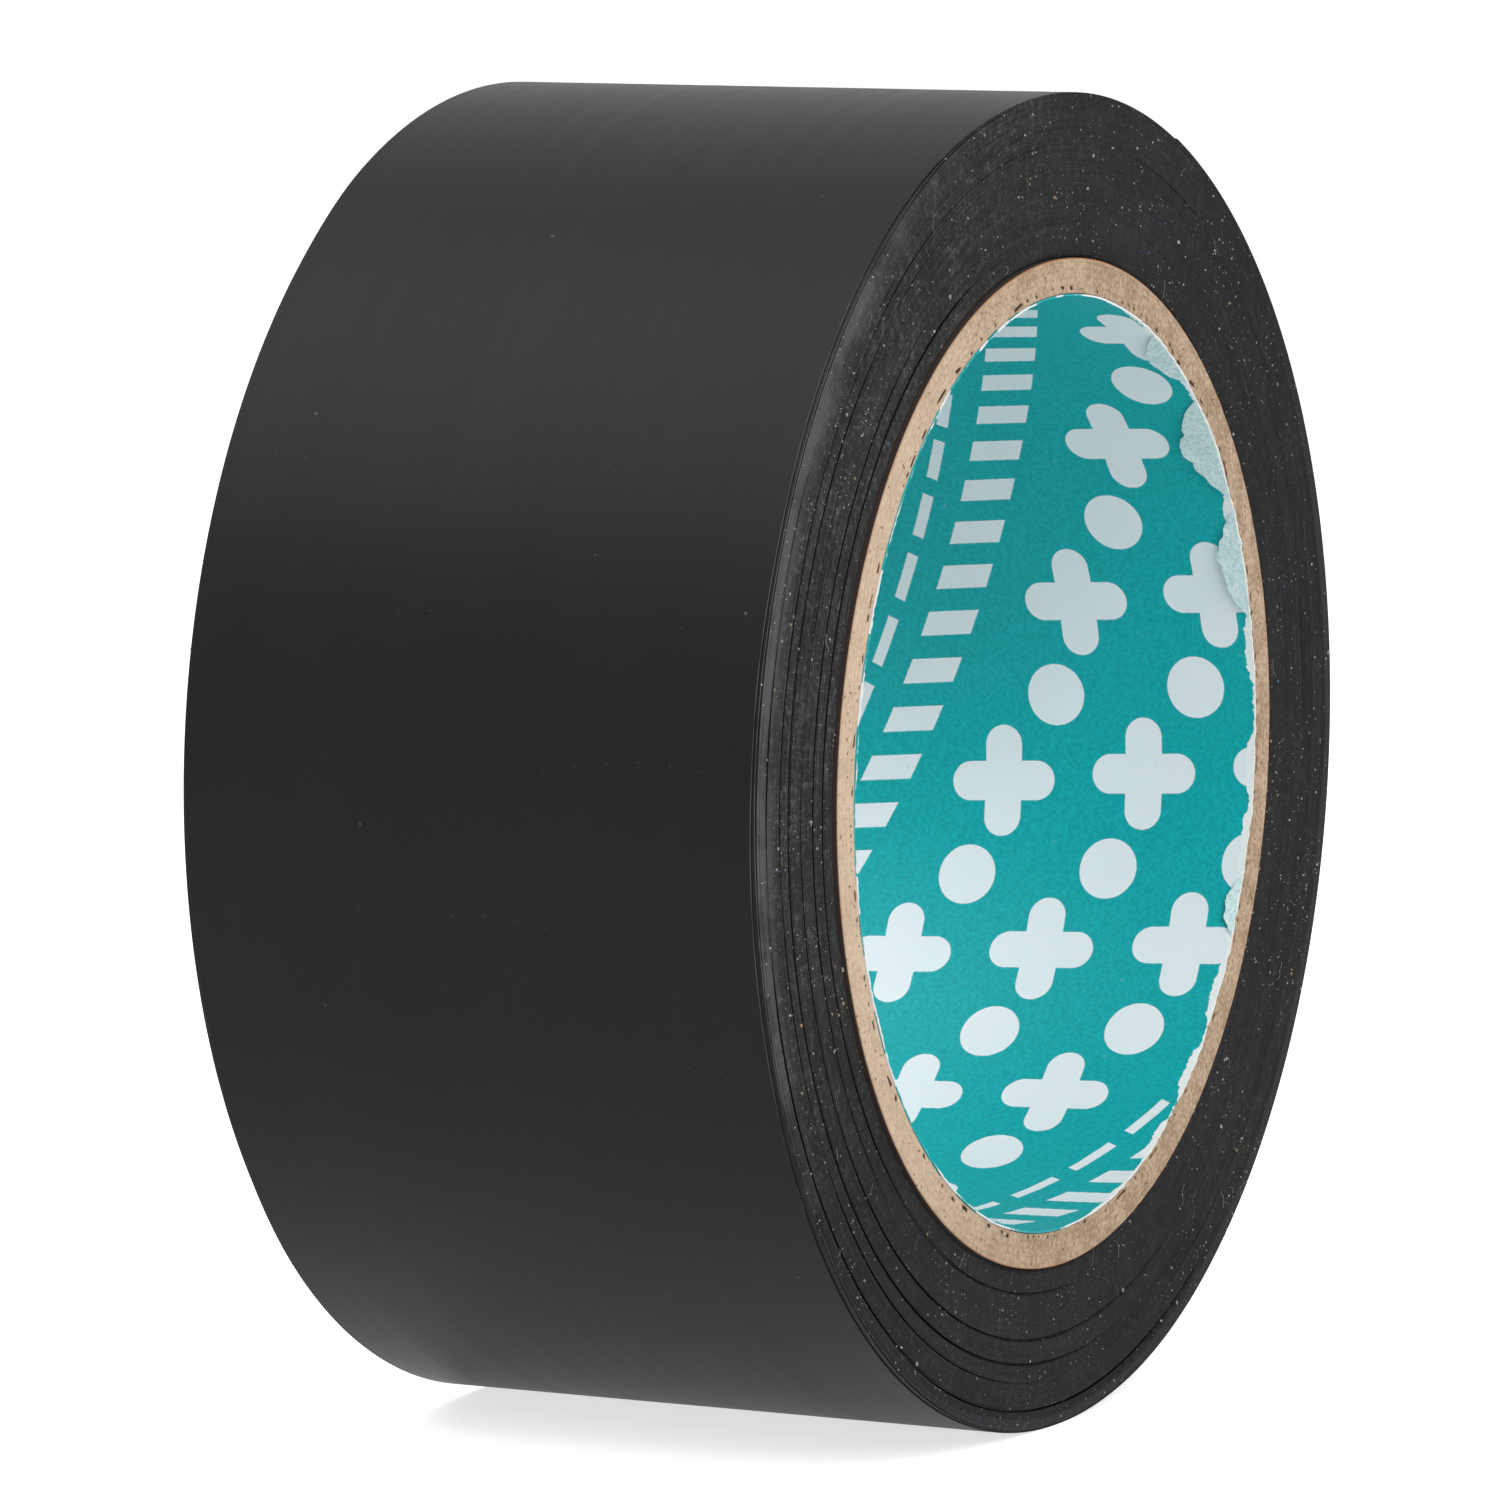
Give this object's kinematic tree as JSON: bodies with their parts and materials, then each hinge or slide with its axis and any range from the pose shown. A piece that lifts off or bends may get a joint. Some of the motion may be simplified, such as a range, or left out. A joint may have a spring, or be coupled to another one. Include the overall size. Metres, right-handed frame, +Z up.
{
  "type": "electrical tape roll",
  "caption": "Roll of black PVC electrical tape wound on a printed paper core, with a free end that lifts off the outer wrap.",
  "frame": {"origin": "middle of the core's bore, halfway across the tape's width", "axes": "+Y along the roll's axis, away from the front face; +Z up, with the roll standing on its tread; the free end of the tape lies at the upper +X side"},
  "size_m": [0.1091, 0.0514, 0.109],
  "materials": {
    "tape_film": "satin",
    "tape_edge": "matte",
    "core_board": "matte",
    "core_cover": "matte",
    "liner_print": "satin"
  },
  "bodies": {
    "roll": {"core_liner": "liner_print", "core_ply_1": "core_board", "core_ply_2": "core_board", "core_ply_3": "core_board", "core_ply_4": "core_board", "core_outer_ply": "core_cover", "tape_wraps_1": "tape_edge", "tape_wraps_2": "tape_edge", "tape_wraps_3": "tape_edge", "tape_wraps_4": "tape_edge", "tape_wraps_5": "tape_edge", "tape_wraps_6": "tape_edge", "tape_wraps_7": "tape_edge", "tape_outer_wrap": "tape_film"},
    "tape_end": {"tape_free_end": "tape_film"}
  },
  "joints": [
    {"name": "end_peel", "type": "hinge", "parent": "roll", "child": "tape_end", "pos_m": [0.03572, 0, 0.04137], "axis": [0, 1, 0], "range_deg": [0, 110]}
  ]
}
